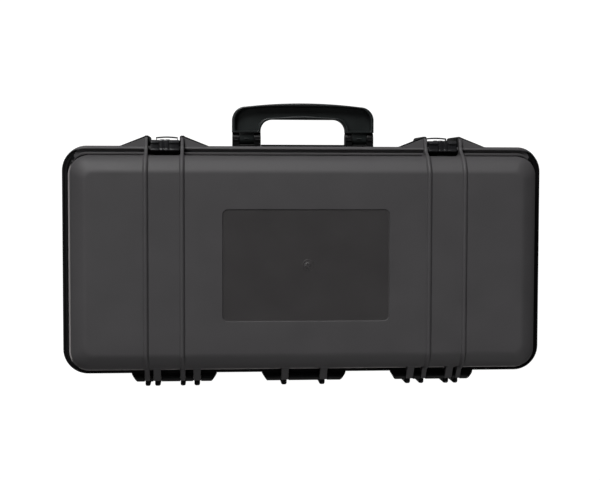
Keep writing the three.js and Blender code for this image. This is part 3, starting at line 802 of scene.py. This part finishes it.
# ---- latches ----
def latches():
    """Trigger latches: two arms with a raised lip, a foot, a pull bar in front, and the trigger between."""
    lip, front, under = -154.0, -169.3, 93.3
    arm = rounded(
        [
            (lip, under, 0.9), (lip, 97.5, 0.9), (lip - 1.8, 97.5, 0.8), (lip - 3.0, 96.3, 0.6),
            (-163.8, 96.2, 0.3), (-164.6, 97.6, 0.5), (-166.2, 97.6, 0.7), (-167.2, 96.0, 0.8),
            (front, 93.4, 1.2), (front - 0.2, 50.0, 5), (front + 0.6, 40.5, 2.5),
            (-163.2, 40.5, 2), (-162.6, under),
        ]
    )
    pull = rounded([(-175.0, 45.4, 0.8), (-173.0, 45.4, 0.8), (-173.0, 50.4, 0.8), (-175.0, 50.4, 0.8)])
    bracket = rounded([(-174.2, 46.0), (front + 1.0, 42.5), (front + 1.0, 50.0), (-174.2, 49.6)])
    foot = rounded([(front + 0.4, 42.0, 1.5), (-164.2, 42.0, 1), (-164.2, 51.6, 1), (front + 0.2, 51.6, 1)])
    trigger = rounded(
        [
            (lip, 90.5, 0.6), (lip, 98.2, 0.9), (lip - 1.8, 98.2, 0.8), (lip - 3.2, 97.2, 0.6),
            (front - 0.5, 97.2, 2.6), (front - 0.7, 60.4, 3), (front - 1.7, 57.0, 0.9),
            (front - 1.9, 54.2, 0.9), (front + 0.6, 52.6, 1), (-167.8, 53.0), (-166.5, 64.0),
            (-166.5, 80.0), (-162.9, 86.0), (-162.9, under + 0.1),
            (lip - 1.9, under + 0.1), (lip - 1.9, 90.5, 0.5),
        ]
    )
    for side, sign in (("left", -1), ("right", 1)):
        x = sign * LATCH_X
        body, swing = f"latch_{side}", f"trigger_{side}"
        for part, x0, x1 in (("inner", -20.7, -7.0), ("outer", 7.0, 19.2)):
            low, high = sorted((x + sign * x0, x + sign * x1))
            points, faces = pillow(arm, low, high, 0.4, 3)
            made = piece(f"latch_arm_{side}_{part}", points, faces, GLOSS, body, smooth=45)
        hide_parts(f"latch_body_{side}")
        bar = [(u - 15.5, 1.2 * math.cos(u / 15.5 * math.pi / 2 - math.pi / 2)) for u in range(0, 32)]
        rings = [[(x - sign * 2.2 + u, y - 0.9 * bulge + 0.6, z) for y, z in pull] for u, bulge in bar]
        points, faces = skin(rings)
        piece(f"latch_pull_{side}", points, faces, BLACK, body, smooth=45)
        points, faces = prism(foot, x - 7.4, x + 7.4, "x")
        piece(f"latch_foot_{side}", points, faces, GLOSS, body, smooth=45)
        for end, far in ((-15.0, "low"), (14.9, "high")):
            start = x - sign * 2.2 + end
            points, faces = prism(bracket, start - 0.4, start + 0.4, "x")
            piece(f"latch_pull_{side}_{far}", points, faces, BLACK, body, smooth=45)
        for part, x0, x1 in (("inner", -6.5, -1.1), ("outer", 1.1, 6.5)):
            points, faces = pillow(trigger, x + x0, x + x1, 0.5, 3)
            name = f"trigger_half_{side}_{part}"
            made = piece(name, points, faces, GLOSS, swing, smooth=45)
        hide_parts(f"latch_trigger_{side}")
        points, faces = prism(shrunk(trigger, 0.55), x - 1.3, x + 1.3, "x")
        piece(f"trigger_groove_{side}", points, faces, GLOSS, swing, smooth=45)


# ---- CAD pieces that keep their shape ----
def refine(node, look, bevel=0.0, segments=3):
    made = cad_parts[node]
    made.data.materials.clear()
    made.data.materials.append(look)
    weld = made.modifiers.new("weld", "WELD")
    weld.merge_threshold = 0.00001
    flat = made.modifiers.new("flat", "DECIMATE")
    flat.decimate_type = "DISSOLVE"
    flat.angle_limit = math.radians(1)
    if bevel:
        edge = made.modifiers.new("edges", "BEVEL")
        edge.width = bevel * MM
        edge.segments = segments
        edge.limit_method = "ANGLE"
        edge.angle_limit = math.radians(32)
        edge.harden_normals = True


def cad_pieces():
    for side in ("left", "right"):
        refine(f"latch_pin_{side}", STEEL, 0.3)
        refine(f"trigger_pin_{side}", STEEL, 0.2)
        refine(f"handle_pin_{side}", STEEL, 0.3)
    for side in ("left", "centre", "right"):
        refine(f"hinge_pin_{side}", STEEL, 0.3)
    refine("handle_mount", BLACK, 0.6)
    for k in range(4):
        refine(f"handle_mount_screw_{k + 1}", STEEL, 0.25)


# ---- stage ----
def math_node(tree, operation, *values):
    """A math node whose inputs are numbers or sockets."""
    made = tree.nodes.new("ShaderNodeMath")
    made.operation = operation
    for socket, value in zip(made.inputs, values):
        if isinstance(value, (int, float)):
            socket.default_value = value
        else:
            tree.links.new(value, socket)
    return made.outputs[0]


def stage_floor():
    """A pale floor that glows a little, as paper on a light table does, most of it near the case."""
    look, tree, shader = nodes_of("studio_floor")
    shader.inputs["Base Color"].default_value = (FLOOR_COLOUR, FLOOR_COLOUR, FLOOR_COLOUR, 1)
    shader.inputs["Roughness"].default_value = 0.9
    shader.inputs["Specular IOR Level"].default_value = 0.1
    where = tree.nodes.new("ShaderNodeTexCoord")
    far = tree.nodes.new("ShaderNodeVectorMath")
    far.operation = "LENGTH"
    tree.links.new(where.outputs["Object"], far.inputs[0])
    pool = spread(tree, far.outputs["Value"], FLOOR_GLOW, FLOOR_GLOW * 0.4, 0.45, 0.75)
    seen = tree.nodes.new("ShaderNodeLightPath").outputs["Is Camera Ray"]
    glow = math_node(tree, "MAXIMUM", pool, math_node(tree, "MULTIPLY", seen, FLOOR_SEEN))
    shader.inputs["Emission Color"].default_value = (1, 1, 1, 1)
    tree.links.new(glow, shader.inputs["Emission Strength"])
    size = 30.0
    corners = [(-size, -size, 0), (size, -size, 0), (size, size, 0), (-size, size, 0)]
    mesh = bpy.data.meshes.new("studio_floor")
    mesh.from_pydata(corners, [], [(0, 1, 2, 3)])
    made = bpy.data.objects.new("studio_floor", mesh)
    made.data.materials.append(look)
    bpy.context.scene.collection.objects.link(made)


def sky():
    """Soft boxes painted on a dim studio sky: each is (direction, inner and outer angle, strength)."""
    world = bpy.data.worlds.new("studio")
    world.use_nodes = True
    bpy.context.scene.world = world
    tree = world.node_tree
    where = tree.nodes.new("ShaderNodeTexCoord").outputs["Generated"]
    total = SKY_DIM
    for direction, inner, outer, strength in SOFT_BOXES:
        dot = tree.nodes.new("ShaderNodeVectorMath")
        dot.operation = "DOT_PRODUCT"
        dot.inputs[1].default_value = Vector(direction).normalized()
        tree.links.new(where, dot.inputs[0])
        edge, core = math.cos(math.radians(outer)), math.cos(math.radians(inner))
        patch = spread(tree, dot.outputs["Value"], 0, strength, edge, core)
        patch.node.interpolation_type = "SMOOTHSTEP"
        total = math_node(tree, "ADD", patch, total)
    seen = tree.nodes.new("ShaderNodeLightPath").outputs["Is Camera Ray"]
    tree.links.new(math_node(tree, "MAXIMUM", total, seen), tree.nodes["Background"].inputs["Strength"])
    tree.nodes["Background"].inputs["Color"].default_value = (1, 1, 1, 1)
    bpy.context.scene.view_settings.view_transform = "Standard"


def camera():
    """Nearly square above the lid, from a little towards the handle and one end."""
    data = bpy.data.cameras.new("camera")
    focal_px = 1232.6
    data.sensor_width = 36.0
    data.lens = focal_px / 600.0 * data.sensor_width
    made = bpy.data.objects.new("camera", data)
    yaw, pitch, roll = 0.0752, 0.0535, 0.0023
    look_at = Vector((-math.sin(yaw) * math.cos(pitch), math.sin(pitch), -math.cos(yaw) * math.cos(pitch)))
    right = Vector((-math.cos(yaw), 0, math.sin(yaw)))
    up = right.cross(look_at)
    right, up = right * math.cos(roll) + up * math.sin(roll), up * math.cos(roll) - right * math.sin(roll)
    turn = Matrix((right, up, -look_at)).transposed()
    made.rotation_mode = "QUATERNION"
    made.rotation_quaternion = turn.to_quaternion()
    made.location = (0.1373, -0.1011, 1.8310)
    bpy.context.scene.collection.objects.link(made)
    bpy.context.scene.camera = made


camera()
sky()
stage_floor()
lid_shell()
lid_ribs()
lid_guards()
lid_front_edge()
gussets("lid_gusset", LID_LOW, 91.4, LID, "lid", fall=0.2)
lid_plates()
gate_mark()
base_shell()
base_runners()
base_fins()
hinge_blocks()
base_plinth()
gussets("base_gusset", 80.0, RIM_TOP - 0.3, BLACK, "base", proud=2.2)
gasket()
foam_pads()
handle()
lug_details()
latches()
cad_pieces()
for shell in ("lid_shell", "base_shell"):
    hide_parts(shell)
